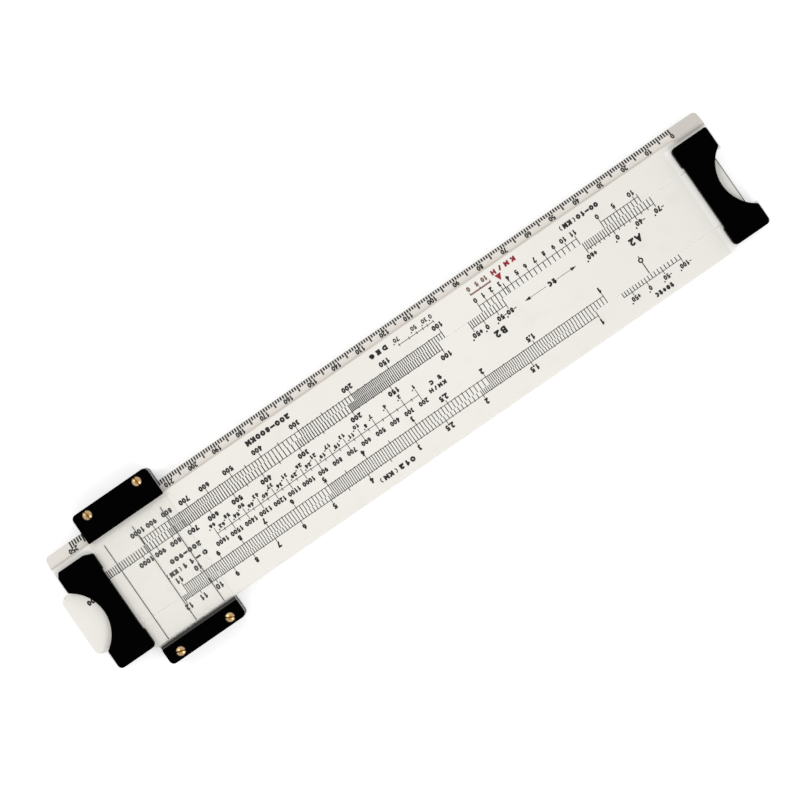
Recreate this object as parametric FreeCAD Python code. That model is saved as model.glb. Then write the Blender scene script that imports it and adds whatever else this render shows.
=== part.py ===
import FreeCAD, Part
import math
import os

# A straight navigation slide rule, in millimetres. X runs along the scales in the reading direction,
# Y runs from the bevelled ruling edge to the plain edge, and Z points out of the front face.
# Sizes are worked out from the stock's left end and ruling edge, and every piece is moved at the end,
# so that the origin lies under the middle of the whole rule as it rests on its back.

# Stock: the two rails that carry the slide between them
stock_length = 270.8
stock_width = 47.4
stock_thickness = 5.0
stock_corner_radius = 1.5
plain_edge_radius = 0.7
long_edge_radius = 0.12
lower_rail_width = 15.6
bevel_width = 4.2
ruling_edge_thickness = 2.2
ruling_edge_radius = 0.2

# Slide: the sliding middle, with a tongue along each side
slide_width = 21.7
slide_draw = 3.5
slide_corner_radius = 2.6
seam_clearance = 0.05
tongue_depth = 1.0
tongue_thickness = 1.6
tongue_side_clearance = 0.1
tongue_tip_clearance = 0.15

# End plates: a notched plate on each face at each end
plate_length = 14.7
plate_thickness = 3.0
plate_end_inset = 0.6
plate_bevel_margin = 2.45
plate_plain_margin = 1.25
plate_corner_radius = 1.7
plate_square_radius = 0.8
plate_inner_cut_length = 3.4
plate_inner_cut_height = 1.3
plate_outer_cut_length = 1.2
plate_outer_cut_height = 1.9
plate_cut_radius = 0.8
plate_edge_radius = 0.4
notch_radius = 14.0
notch_depth = 6.65
notch_lip_radius = 0.8
slide_relief = 0.3
relief_side_clearance = 0.3
inner_step_depth = 0.45
inner_step_slant = 0.6
edge_relief_length = 13.8
edge_relief_slant = 1.8

# Screws through each end, from the back plate into the front plate
plate_screw_spacing_x = 7.2
plate_screw_head_diameter = 3.6
plate_screw_shank_diameter = 2.0
plate_screw_grip = 1.8
plate_screw_sink = 0.15

# Cursor: two clear windows held apart by spacers and clamped by strips
cursor_length = 30.9
cursor_stop_gap = 0.6
window_thickness = 1.2
window_clearance = 0.25
window_edge_radius = 0.15
strip_thickness = 1.4
lower_strip_width = 11.1
upper_strip_width = 6.4
strip_outer_radius = 1.8
strip_inner_radius = 0.6
strip_edge_radius = 0.3
lower_spacer_width = 6.2
upper_spacer_width = 7.4
lower_guide_clearance = 0.1
upper_guide_clearance = 0.2

# Cursor screws
cursor_screw_spacing = 20.4
cursor_screw_edge_distance = 2.5
cursor_screw_head_diameter = 3.4
cursor_screw_shank_diameter = 2.0
cursor_screw_grip = 2.3
head_rise = 0.12
slot_width = 0.6
slot_depth = 0.4
screw_tip_chamfer = 0.25
screw_hole_clearance = 0.1
head_seat_clearance = 0.02

# Leaf spring in the upper spacer, bowed towards the plain edge
spring_length = 24.4
spring_height = 3.0
spring_thickness = 0.25
spring_pocket_depth = 1.7
spring_pocket_clearance = 0.3
spring_rail_clearance = 0.05

# Turns of the screw slots, in degrees from X
front_slot_turns = [-30.0, -20.0, 95.0, 100.0]
back_slot_turns = [-50.0, 10.0, 80.0, 35.0]
plate_slot_turns = [15.0, 75.0, -40.0, 120.0]

# Levels and places that follow from the sizes
back_face = plate_thickness
front_face = back_face + stock_thickness
middle_level = (back_face + front_face) / 2
upper_rail_start = lower_rail_width + 2 * seam_clearance + slide_width
slide_low = lower_rail_width + seam_clearance
slide_high = slide_low + slide_width
slide_middle = (slide_low + slide_high) / 2
slide_left = slide_draw
slide_right = slide_left + stock_length
plate_low = bevel_width + plate_bevel_margin
plate_high = stock_width - plate_plain_margin
relief_low = slide_low - tongue_depth - relief_side_clearance
relief_high = slide_high + tongue_depth + relief_side_clearance
spacer_height = stock_thickness + 2 * window_clearance
cursor_low = -lower_guide_clearance - lower_spacer_width
upper_spacer_low = stock_width + upper_guide_clearance
cursor_high = upper_spacer_low + upper_spacer_width
cursor_right = stock_length - plate_end_inset - plate_length - cursor_stop_gap
cursor_left = cursor_right - cursor_length
cursor_middle = (cursor_left + cursor_right) / 2
window_low_level = front_face + window_clearance
strip_low_level = window_low_level + window_thickness
strip_top_level = strip_low_level + strip_thickness

# Ends of the whole rule at rest, which set the origin
rule_left = min(0.0, slide_left, cursor_left)
rule_right = max(stock_length, slide_right, cursor_right)
origin = FreeCAD.Vector((rule_left + rule_right) / 2, (cursor_low + cursor_high) / 2, 0)

x_axis = FreeCAD.Vector(1, 0, 0)
z_axis = FreeCAD.Vector(0, 0, 1)
tolerance = 1e-6


def rounded_face(corners, to_point):
    """Flat face through corners (u, v, radius), where to_point turns (u, v) into a point."""
    count = len(corners)
    starts = []
    ends = []
    edges = []
    for index in range(count):
        u, v, radius = corners[index]
        before = corners[index - 1]
        after = corners[(index + 1) % count]
        back = FreeCAD.Vector(before[0] - u, before[1] - v, 0).normalize()
        ahead = FreeCAD.Vector(after[0] - u, after[1] - v, 0).normalize()
        corner = FreeCAD.Vector(u, v, 0)
        half_angle = back.getAngle(ahead) / 2
        setback = radius / math.tan(half_angle)
        start = corner + back * setback
        end = corner + ahead * setback
        starts.append(to_point(start.x, start.y))
        ends.append(to_point(end.x, end.y))
        if radius > 0:
            inward = (back + ahead).normalize()
            reach = radius / math.sin(half_angle) - radius
            middle = corner + inward * reach
            arc = Part.Arc(starts[index], to_point(middle.x, middle.y), ends[index])
            edges.append(arc.toShape())
    for index in range(count):
        here = ends[index]
        following = starts[(index + 1) % count]
        if here.distanceToPoint(following) > tolerance:
            edges.append(Part.makeLine(here, following))
    return Part.Face(Part.Wire(Part.__sortEdges__(edges)))


def plan_prism(corners, low, high):
    """Prism from level low to level high over a plan outline of (x, y, radius) corners."""
    face = rounded_face(corners, lambda x, y: FreeCAD.Vector(x, y, low))
    return face.extrude(FreeCAD.Vector(0, 0, high - low))


def long_bar(corners, left, right):
    """Bar along X over a cross-section of (y, z, radius) corners."""
    face = rounded_face(corners, lambda y, z: FreeCAD.Vector(left, y, z))
    return face.extrude(FreeCAD.Vector(right - left, 0, 0))


def block(low, high):
    """Plain block between two opposite corners."""
    size = [high[i] - low[i] for i in range(3)]
    return Part.makeBox(size[0], size[1], size[2], FreeCAD.Vector(*low))


def corner_list(left, right, low, high, low_radius, high_radius):
    """Rectangle in plan, with one radius at its low-Y corners and one at its high-Y corners."""
    return [
        (left, low, low_radius),
        (right, low, low_radius),
        (right, high, high_radius),
        (left, high, high_radius),
    ]


def round_rim(shape, level, radius):
    """Round every edge of the shape that lies at one level."""
    rim = []
    for edge in shape.Edges:
        box = edge.BoundBox
        if abs(box.ZMin - level) < tolerance and abs(box.ZMax - level) < tolerance:
            rim.append(edge)
    return shape.makeFillet(radius, rim)


def to_back(shape):
    """Mirror a piece of the front face to the back face."""
    return shape.mirror(FreeCAD.Vector(0, 0, middle_level), z_axis)


def to_right_end(shape):
    """Mirror a piece of the left end to the right end."""
    return shape.mirror(FreeCAD.Vector(stock_length / 2, 0, 0), x_axis)


def stock_outline():
    """Prism over the stock's plan outline, with the plain edge cut back beside the end plates."""
    relief_end = edge_relief_length + edge_relief_slant
    return plan_prism([
        (0, 0, stock_corner_radius),
        (stock_length, 0, stock_corner_radius),
        (stock_length, plate_high, stock_corner_radius),
        (stock_length - edge_relief_length, plate_high, 0),
        (stock_length - relief_end, stock_width, 0),
        (relief_end, stock_width, 0),
        (edge_relief_length, plate_high, 0),
        (0, plate_high, stock_corner_radius),
    ], back_face, front_face)


def groove_levels():
    """Low and high level of the groove that holds a tongue."""
    half_height = tongue_thickness / 2 + tongue_side_clearance
    return middle_level - half_height, middle_level + half_height


def plate_screw_places():
    """Centres of the four screws of the left end, in plan."""
    middle = plate_end_inset + plate_length / 2
    places = []
    for y in ((plate_low + relief_low) / 2, (relief_high + plate_high) / 2):
        for side in (-1, 1):
            places.append((middle + side * plate_screw_spacing_x / 2, y))
    return places


def cursor_screw_places():
    """Centres of the four screws of one face of the cursor, in plan."""
    places = []
    for y in (cursor_high - cursor_screw_edge_distance, cursor_low + cursor_screw_edge_distance):
        for side in (-1, 1):
            places.append((cursor_middle + side * cursor_screw_spacing / 2, y))
    return places


def drill_plate_holes(shape):
    """Screw holes through a rail at both ends."""
    radius = plate_screw_shank_diameter / 2 + screw_hole_clearance
    for x, y in plate_screw_places():
        hole = Part.makeCylinder(radius, stock_thickness, FreeCAD.Vector(x, y, back_face))
        shape = shape.cut(hole)
        shape = shape.cut(to_right_end(hole))
    return shape


def lower_rail():
    """Rail with the bevelled ruling edge and a groove for the slide."""
    groove_low, groove_high = groove_levels()
    groove_floor = lower_rail_width + seam_clearance - tongue_depth - tongue_tip_clearance
    bar = long_bar([
        (0, back_face, ruling_edge_radius),
        (lower_rail_width, back_face, long_edge_radius),
        (lower_rail_width, groove_low, 0),
        (groove_floor, groove_low, 0),
        (groove_floor, groove_high, 0),
        (lower_rail_width, groove_high, 0),
        (lower_rail_width, front_face, long_edge_radius),
        (bevel_width, front_face, 0),
        (0, back_face + ruling_edge_thickness, ruling_edge_radius),
    ], 0, stock_length)
    return drill_plate_holes(bar.common(stock_outline()))


def upper_rail():
    """Plain rail with a groove for the slide."""
    groove_low, groove_high = groove_levels()
    groove_floor = upper_rail_start - seam_clearance + tongue_depth + tongue_tip_clearance
    bar = long_bar([
        (upper_rail_start, back_face, long_edge_radius),
        (stock_width, back_face, plain_edge_radius),
        (stock_width, front_face, plain_edge_radius),
        (upper_rail_start, front_face, long_edge_radius),
        (upper_rail_start, groove_high, 0),
        (groove_floor, groove_high, 0),
        (groove_floor, groove_low, 0),
        (upper_rail_start, groove_low, 0),
    ], 0, stock_length)
    return drill_plate_holes(bar.common(stock_outline()))


def slide():
    """Sliding middle with a tongue along each side and rounded end corners."""
    tongue_low = middle_level - tongue_thickness / 2
    tongue_high = middle_level + tongue_thickness / 2
    low_tip = slide_low - tongue_depth
    high_tip = slide_high + tongue_depth
    bar = long_bar([
        (slide_low, back_face, long_edge_radius),
        (slide_high, back_face, long_edge_radius),
        (slide_high, tongue_low, 0),
        (high_tip, tongue_low, 0),
        (high_tip, tongue_high, 0),
        (slide_high, tongue_high, 0),
        (slide_high, front_face, long_edge_radius),
        (slide_low, front_face, long_edge_radius),
        (slide_low, tongue_high, 0),
        (low_tip, tongue_high, 0),
        (low_tip, tongue_low, 0),
        (slide_low, tongue_low, 0),
    ], slide_left, slide_right)
    corners = corner_list(
        slide_left, slide_right, low_tip, high_tip, slide_corner_radius, slide_corner_radius)
    return bar.common(plan_prism(corners, back_face, front_face))


def plain_corners():
    """Corners of the left end's plate on its bevel side: one nearly square, one round."""
    outer = plate_end_inset
    inner = outer + plate_length
    return [(outer, plate_low, plate_square_radius), (inner, plate_low, plate_corner_radius)]


def cut_corners():
    """Corners of the right end's front plate on its bevel side, cut off at a slant, as at the left end."""
    outer = plate_end_inset
    inner = outer + plate_length
    return [
        (outer, plate_low + plate_outer_cut_height, plate_cut_radius),
        (outer + plate_outer_cut_length, plate_low, plate_cut_radius),
        (inner - plate_inner_cut_length, plate_low, plate_cut_radius),
        (inner, plate_low + plate_inner_cut_height, plate_cut_radius),
    ]


def end_plate_blank(bevel_side_corners):
    """Front plate of the left end, without its screw holes."""
    outer = plate_end_inset
    inner = outer + plate_length
    top = front_face + plate_thickness
    plate = plan_prism(bevel_side_corners + [
        (inner, relief_low - inner_step_slant, 0),
        (inner - inner_step_depth, relief_low, 0),
        (inner - inner_step_depth, relief_high, 0),
        (inner, relief_high + inner_step_slant, 0),
        (inner, plate_high, plate_corner_radius),
        (outer, plate_high, plate_corner_radius),
    ], front_face, top)
    notch_centre = FreeCAD.Vector(outer + notch_depth - notch_radius, slide_middle, front_face)
    notch = Part.makeCylinder(notch_radius, plate_thickness, notch_centre)
    plate = plate.cut(notch)
    lips = []
    for edge in plate.Edges:
        box = edge.BoundBox
        upright = box.ZLength > plate_thickness / 2
        on_outer_side = abs(box.XMax - outer) < tolerance and abs(box.XMin - outer) < tolerance
        beside_notch = abs(box.Center.y - slide_middle) < notch_radius
        if upright and on_outer_side and beside_notch:
            lips.append(edge)
    plate = plate.makeFillet(notch_lip_radius, lips)
    plate = round_rim(plate, top, plate_edge_radius)
    relief = block((0, relief_low, front_face), (inner, relief_high, front_face + slide_relief))
    return plate.cut(relief)


def front_end_plate(bevel_side_corners):
    """Front plate of the left end, with blind holes that take the screws' tips."""
    plate = end_plate_blank(bevel_side_corners)
    for x, y in plate_screw_places():
        place = FreeCAD.Vector(x, y, front_face)
        plate = plate.cut(Part.makeCylinder(plate_screw_shank_diameter / 2, plate_screw_grip, place))
    return plate


def countersunk_hole(head_diameter, shank_diameter, depth, sink):
    """Cutter for a screw with its rim at level 0 below a face at level sink."""
    bore_radius = shank_diameter / 2 + screw_hole_clearance
    seat_radius = head_diameter / 2 + head_seat_clearance
    cone_depth = seat_radius - bore_radius
    bore = Part.makeCylinder(bore_radius, depth, FreeCAD.Vector(0, 0, -depth))
    cone = Part.makeCone(
        bore_radius, seat_radius + sink, cone_depth + sink, FreeCAD.Vector(0, 0, -cone_depth))
    return bore.fuse(cone)


def back_end_plate():
    """Back plate of the left end, with countersunk holes."""
    plate = end_plate_blank(plain_corners())
    hole = countersunk_hole(
        plate_screw_head_diameter, plate_screw_shank_diameter, plate_thickness, plate_screw_sink)
    rim_level = front_face + plate_thickness - plate_screw_sink
    for x, y in plate_screw_places():
        plate = plate.cut(hole.translated(FreeCAD.Vector(x, y, rim_level)))
    return to_back(plate)


def slotted_screw(head_diameter, shank_diameter, length, slot_turn):
    """Slotted countersunk screw pointing down, with the rim of its domed head at level 0."""
    head_radius = head_diameter / 2
    shank_radius = shank_diameter / 2
    cone_depth = head_radius - shank_radius
    dome_radius = (head_radius ** 2 + head_rise ** 2) / (2 * head_rise)
    half_turn = math.asin(head_radius / dome_radius) / 2
    dome_middle = FreeCAD.Vector(
        dome_radius * math.sin(half_turn), 0, head_rise - dome_radius * (1 - math.cos(half_turn)))
    crown = FreeCAD.Vector(0, 0, head_rise)
    points = [
        FreeCAD.Vector(head_radius, 0, 0),
        FreeCAD.Vector(shank_radius, 0, -cone_depth),
        FreeCAD.Vector(shank_radius, 0, screw_tip_chamfer - length),
        FreeCAD.Vector(shank_radius - screw_tip_chamfer, 0, -length),
        FreeCAD.Vector(0, 0, -length),
        crown,
    ]
    edges = [Part.Arc(crown, dome_middle, points[0]).toShape()]
    for start, end in zip(points, points[1:]):
        edges.append(Part.makeLine(start, end))
    section = Part.Face(Part.Wire(edges))
    screw = section.revolve(FreeCAD.Vector(0, 0, 0), z_axis, 360)
    half_slot = slot_width / 2
    slot = block((-head_radius, -half_slot, -slot_depth), (head_radius, half_slot, head_rise))
    slot.rotate(FreeCAD.Vector(0, 0, 0), z_axis, slot_turn)
    return screw.cut(slot)


def plate_screws():
    """Four screws of the left end, put in from the back."""
    length = 2 * plate_thickness + stock_thickness - plate_screw_sink
    length = length - (plate_thickness - plate_screw_grip)
    rim_level = front_face + plate_thickness - plate_screw_sink
    screws = []
    for (x, y), turn in zip(plate_screw_places(), plate_slot_turns):
        screw = slotted_screw(plate_screw_head_diameter, plate_screw_shank_diameter, length, turn)
        screws.append(to_back(screw.translated(FreeCAD.Vector(x, y, rim_level))))
    return Part.makeCompound(screws)


def cursor_screws(slot_turns):
    """Four screws of the cursor's front face."""
    length = strip_thickness + window_thickness + cursor_screw_grip
    screws = []
    for (x, y), turn in zip(cursor_screw_places(), slot_turns):
        screw = slotted_screw(cursor_screw_head_diameter, cursor_screw_shank_diameter, length, turn)
        screws.append(screw.translated(FreeCAD.Vector(x, y, strip_top_level)))
    return Part.makeCompound(screws)


def cursor_window():
    """Clear front window with a hole for each screw."""
    corners = corner_list(
        cursor_left, cursor_right, cursor_low, cursor_high, strip_outer_radius, strip_outer_radius)
    window = plan_prism(corners, window_low_level, strip_low_level)
    window = round_rim(window, strip_low_level, window_edge_radius)
    window = round_rim(window, window_low_level, window_edge_radius)
    radius = cursor_screw_shank_diameter / 2 + screw_hole_clearance
    for x, y in cursor_screw_places():
        place = FreeCAD.Vector(x, y, window_low_level)
        window = window.cut(Part.makeCylinder(radius, window_thickness, place))
    return window


def cursor_strip(low, high, low_radius, high_radius):
    """Front strip between two Y places, with countersunk holes for its screws."""
    corners = corner_list(cursor_left, cursor_right, low, high, low_radius, high_radius)
    strip = plan_prism(corners, strip_low_level, strip_top_level)
    strip = round_rim(strip, strip_top_level, strip_edge_radius)
    hole = countersunk_hole(
        cursor_screw_head_diameter, cursor_screw_shank_diameter, strip_thickness, 0)
    for x, y in cursor_screw_places():
        if low < y < high:
            strip = strip.cut(hole.translated(FreeCAD.Vector(x, y, strip_top_level)))
    return strip


def lower_strip():
    """Front strip over the bevelled edge."""
    return cursor_strip(
        cursor_low, cursor_low + lower_strip_width, strip_outer_radius, strip_inner_radius)


def upper_strip():
    """Front strip beside the plain edge."""
    return cursor_strip(
        cursor_high - upper_strip_width, cursor_high, strip_inner_radius, strip_outer_radius)


def cursor_spacer(low, high, low_radius, high_radius):
    """Bar between the two windows, with a blind screw hole at each screw from both faces."""
    start = middle_level - spacer_height / 2
    end = middle_level + spacer_height / 2
    corners = corner_list(cursor_left, cursor_right, low, high, low_radius, high_radius)
    bar = plan_prism(corners, start, end)
    for x, y in cursor_screw_places():
        if low < y < high:
            place = FreeCAD.Vector(x, y, end - cursor_screw_grip)
            hole = Part.makeCylinder(cursor_screw_shank_diameter / 2, cursor_screw_grip, place)
            bar = bar.cut(hole)
            bar = bar.cut(to_back(hole))
    return bar


def lower_spacer():
    """Spacer that runs along the ruling edge."""
    return cursor_spacer(cursor_low, -lower_guide_clearance, strip_outer_radius, 0)


def upper_spacer():
    """Spacer that runs along the plain edge, with a pocket for the spring."""
    bar = cursor_spacer(upper_spacer_low, cursor_high, 0, strip_outer_radius)
    half_length = spring_length / 2 + spring_pocket_clearance
    half_height = spring_height / 2 + spring_pocket_clearance
    pocket = block(
        (cursor_middle - half_length, upper_spacer_low, middle_level - half_height),
        (cursor_middle + half_length, upper_spacer_low + spring_pocket_depth,
         middle_level + half_height))
    return bar.cut(pocket)


def cursor_spring():
    """Bowed leaf whose ends stand on the pocket's floor and whose crown faces the plain edge."""
    level = middle_level - spring_height / 2
    floor = upper_spacer_low + spring_pocket_depth
    crown = stock_width + spring_rail_clearance
    half = spring_length / 2

    def point(x, y):
        return FreeCAD.Vector(cursor_middle + x, y, level)

    rail_side = Part.Arc(
        point(-half, floor - spring_thickness), point(0, crown), point(half, floor - spring_thickness))
    floor_side = Part.Arc(point(-half, floor), point(0, crown + spring_thickness), point(half, floor))
    left_end = Part.makeLine(point(-half, floor - spring_thickness), point(-half, floor))
    right_end = Part.makeLine(point(half, floor - spring_thickness), point(half, floor))
    edges = [rail_side.toShape(), right_end, floor_side.toShape(), left_end]
    leaf = Part.Face(Part.Wire(Part.__sortEdges__(edges)))
    return leaf.extrude(FreeCAD.Vector(0, 0, spring_height))


def save(name, shape):
    """Move a piece into the rule's own frame and write it."""
    placed = shape.translated(origin * -1)
    placed.exportStep("parts/" + name + ".step")
    box = placed.optimalBoundingBox()
    print(f"{name}: {len(placed.Solids)} solids, {placed.Volume:.1f} mm3,"
          f" x {box.XMin:.2f} to {box.XMax:.2f}, y {box.YMin:.2f} to {box.YMax:.2f},"
          f" z {box.ZMin:.2f} to {box.ZMax:.2f}, valid {placed.isValid()}")


def main():
    os.makedirs("parts", exist_ok=True)
    save("lower_rail", lower_rail())
    save("upper_rail", upper_rail())
    save("slide", slide())
    save("front_end_plate_left", front_end_plate(plain_corners()))
    save("front_end_plate_right", to_right_end(front_end_plate(cut_corners())))
    save("back_end_plate_left", back_end_plate())
    save("back_end_plate_right", to_right_end(back_end_plate()))
    save("end_plate_screws_left", plate_screws())
    save("end_plate_screws_right", to_right_end(plate_screws()))
    save("cursor_front_window", cursor_window())
    save("cursor_back_window", to_back(cursor_window()))
    save("cursor_upper_front_strip", upper_strip())
    save("cursor_lower_front_strip", lower_strip())
    save("cursor_upper_back_strip", to_back(upper_strip()))
    save("cursor_lower_back_strip", to_back(lower_strip()))
    save("cursor_upper_spacer", upper_spacer())
    save("cursor_lower_spacer", lower_spacer())
    save("cursor_front_screws", cursor_screws(front_slot_turns))
    save("cursor_back_screws", to_back(cursor_screws(back_slot_turns)))
    save("cursor_spring", cursor_spring())


main()
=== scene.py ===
# Looks of a straight navigation slide rule: plastics, brass, printed scales, hairlines, light and camera.
# Lengths in the dictionaries are millimetres. A place along a face is measured from the ruling's 0 mark.
# A place across it is measured from the zero line, just inside the ruling edge, or on the back from the
# plain edge.
import math
import bmesh
import bpy
from mathutils import Matrix, Vector


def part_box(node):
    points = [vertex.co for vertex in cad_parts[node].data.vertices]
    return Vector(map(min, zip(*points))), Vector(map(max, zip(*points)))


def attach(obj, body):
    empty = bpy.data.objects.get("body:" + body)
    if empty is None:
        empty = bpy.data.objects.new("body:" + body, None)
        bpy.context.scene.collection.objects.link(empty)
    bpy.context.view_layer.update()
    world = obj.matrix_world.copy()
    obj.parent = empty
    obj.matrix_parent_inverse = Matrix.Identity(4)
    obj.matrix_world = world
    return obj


mm = 0.001

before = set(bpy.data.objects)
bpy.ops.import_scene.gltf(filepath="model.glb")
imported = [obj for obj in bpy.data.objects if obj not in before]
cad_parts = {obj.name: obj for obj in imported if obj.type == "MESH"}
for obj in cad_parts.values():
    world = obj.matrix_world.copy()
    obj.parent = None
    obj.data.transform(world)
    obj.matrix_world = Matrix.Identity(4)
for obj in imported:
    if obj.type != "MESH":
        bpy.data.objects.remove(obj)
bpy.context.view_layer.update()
lowerRailLow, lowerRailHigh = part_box("lower_rail")
upperRailLow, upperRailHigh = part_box("upper_rail")
windowLow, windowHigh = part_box("cursor_front_window")
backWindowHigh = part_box("cursor_back_window")[1]
midLevel = (lowerRailLow.z + lowerRailHigh.z) / 2
zeroInset = 11.1  # of the ruling's 0 mark, from the stock's left end
zeroX = lowerRailLow.x + zeroInset * mm
zeroRise = 0.4  # of the zero line, from the ruling edge
zeroY = lowerRailLow.y + zeroRise * mm
print("frame loaded:", len(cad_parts), "nodes")


# Shader helpers

def newMaterial(name):
    material = bpy.data.materials.new(name)
    material.use_nodes = True
    return material, material.node_tree, material.node_tree.nodes["Principled BSDF"]


def feed(tree, socket, value):  # links an output, or sets a plain number or colour
    if isinstance(value, bpy.types.NodeSocket):
        tree.links.new(value, socket)
    else:
        socket.default_value = value


def objectPlace(tree, stretch=(1, 1, 1), shift=(0, 0, 0)):
    coordinates = tree.nodes.new("ShaderNodeTexCoord")
    mapping = tree.nodes.new("ShaderNodeMapping")
    mapping.inputs["Location"].default_value = shift
    mapping.inputs["Scale"].default_value = stretch
    tree.links.new(coordinates.outputs["Object"], mapping.inputs["Vector"])
    return mapping.outputs["Vector"]


def grain(tree, perMetre, detail=2.0, stretch=(1, 1, 1)):
    node = tree.nodes.new("ShaderNodeTexNoise")
    node.inputs["Scale"].default_value = perMetre
    node.inputs["Detail"].default_value = detail
    tree.links.new(objectPlace(tree, stretch), node.inputs["Vector"])
    return node.outputs["Fac"]


def remap(tree, value, fromLow, fromHigh, toLow, toHigh):
    node = tree.nodes.new("ShaderNodeMapRange")
    for socket, number in zip(node.inputs[1:5], (fromLow, fromHigh, toLow, toHigh)):
        socket.default_value = number
    tree.links.new(value, node.inputs["Value"])
    return node.outputs["Result"]


def calculate(tree, operation, first, second=0.0):
    node = tree.nodes.new("ShaderNodeMath")
    node.operation = operation
    feed(tree, node.inputs[0], first)
    feed(tree, node.inputs[1], second)
    return node.outputs["Value"]


def add(tree, first, second):
    return calculate(tree, "ADD", first, second)


def subtract(tree, first, second):
    return calculate(tree, "SUBTRACT", first, second)


def multiply(tree, first, second):
    return calculate(tree, "MULTIPLY", first, second)


def tint(tree, factor, plain, changed):  # plain colour where the factor is 0
    node = tree.nodes.new("ShaderNodeMix")
    node.data_type = "RGBA"
    feed(tree, node.inputs["Factor"], factor)
    feed(tree, node.inputs[6], plain)  # by number, because these sockets' names repeat
    feed(tree, node.inputs[7], changed)
    return node.outputs[2]


def roughen(tree, shader, pattern, look, high=0.7):  # between the two values in the look
    feed(tree, shader.inputs["Roughness"], remap(tree, pattern, 0.3, high, *look["roughness"]))


def relief(tree, shader, height, depth, strength):
    node = tree.nodes.new("ShaderNodeBump")
    node.inputs["Strength"].default_value = strength
    node.inputs["Distance"].default_value = depth
    tree.links.new(height, node.inputs["Height"])
    tree.links.new(node.outputs["Normal"], shader.inputs["Normal"])


def splitPlace(tree, shift=(0, 0, 0)):
    node = tree.nodes.new("ShaderNodeSeparateXYZ")
    tree.links.new(objectPlace(tree, shift=shift), node.inputs["Vector"])
    return node.outputs["X"], node.outputs["Y"], node.outputs["Z"]


# Materials

whitePlastic = {
    "clean": (0.864, 0.842, 0.789, 1),
    "aged": (0.834, 0.806, 0.746, 1),
    "agedShare": 0.7,
    "cloudsPerMetre": 28,
    "wearAndShade": (0.814, 0.793, 0.742, 1),  # painted shade: the face darker towards the left end; also the slide's sunk end
    "leftShadeReach": 85,
    "bevelLow": (0.83, 0.792, 0.74, 1),  # the bevel beside the ruling
    "bevelHigh": (0.745, 0.695, 0.63, 1),  # the bevel beside the numbers
    "bevelShading": (1.5, 3.2),  # across the face, from the one colour to the other
    "bevelEnd": (0.80, 0.755, 0.71, 1),  # past the ruling's right end
    "bevelShadedEnd": (0.655, 0.625, 0.575, 1),  # painted shade past its left end, beside the left plate
    "leftEnd": (2, -0.5),  # where the shaded end begins and is full
    "rightEnd": (251, 253),
    "rightEndShare": 0.6,
    "bevelTop": 3.72,  # across the face, in the middle of the rule
    "bow": 0.5,  # how much higher the bevel and its numbers run at the ends
    "bowMiddle": 108,
    "bowReach": 125,
    "endRise": 1.3,  # how much further it goes past the ruling's left end
    "endReach": 7.0,  # how far up the shaded left end goes
    "frontHalf": (-0.5, -0.2),  # from the mid level: colours of the bevel stay above it
    "softEdge": 0.2,
    "topLine": (0.55, 0.50, 0.445, 1),  # a darker line along the top of the bevel
    "topLineShaded": (0.41, 0.385, 0.35, 1),  # painted shade: the same line, darker past the ruling's left end
    "topLineY": 3.35,
    "topLineWidth": 0.5,
    "topLinePerMetre": 90,
    "topLineLeast": 0.45,  # where the line is thinnest
    "seamLight": (0.95, 0.935, 0.90, 1),  # painted light along the seams, lightening the shade in the gaps
    "seamWidth": 0.45,
    "plateLight": (0.955, 0.935, 0.895, 1),  # painted light close beside the end plates, against their shade
    "plateLightWidth": 1.25,
    "plateLightLow": 5.7,  # below the left plate, above the darker line
    "plateLightLowRight": 4.6,
    "grime": (0.42, 0.38, 0.32, 1),
    "grimeShare": 0.08,
    "smudgesPerMetre": 150,
    "soilAndShade": (0.34, 0.36, 0.37, 1),  # painted shade with some grime, on the slide's end sunk under the left plate
    "soilAndShadeShare": 0.1,
    "sunkEndReach": 3.2,
    "rim": (0.19, 0.19, 0.185, 1),  # painted shade, a dark line along the very end
    "rimWidth": 0.5,
    "roughness": (0.32, 0.48),  # between scratches and on them
    "ior": 1.47,
    "scratchesPerMetre": 60,
    "pitsPerMetre": 500,
    "reliefDepth": 0.02,
    "reliefStrength": 0.12,
}


def places(pair, start=0.0):  # two places in millimetres from a start, as metres
    return [start + place * mm for place in pair]


def band(tree, value, middle, halfWidth, strength):  # strength in the middle, 0 from half a width on
    distance = calculate(tree, "ABSOLUTE", subtract(tree, value, middle))
    return remap(tree, distance, 0, halfWidth, strength, 0)


def bowRise(x):  # in millimetres, at a place along the ruling
    look = whitePlastic
    return look["bow"] * ((x - look["bowMiddle"]) / look["bowReach"]) ** 2


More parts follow.
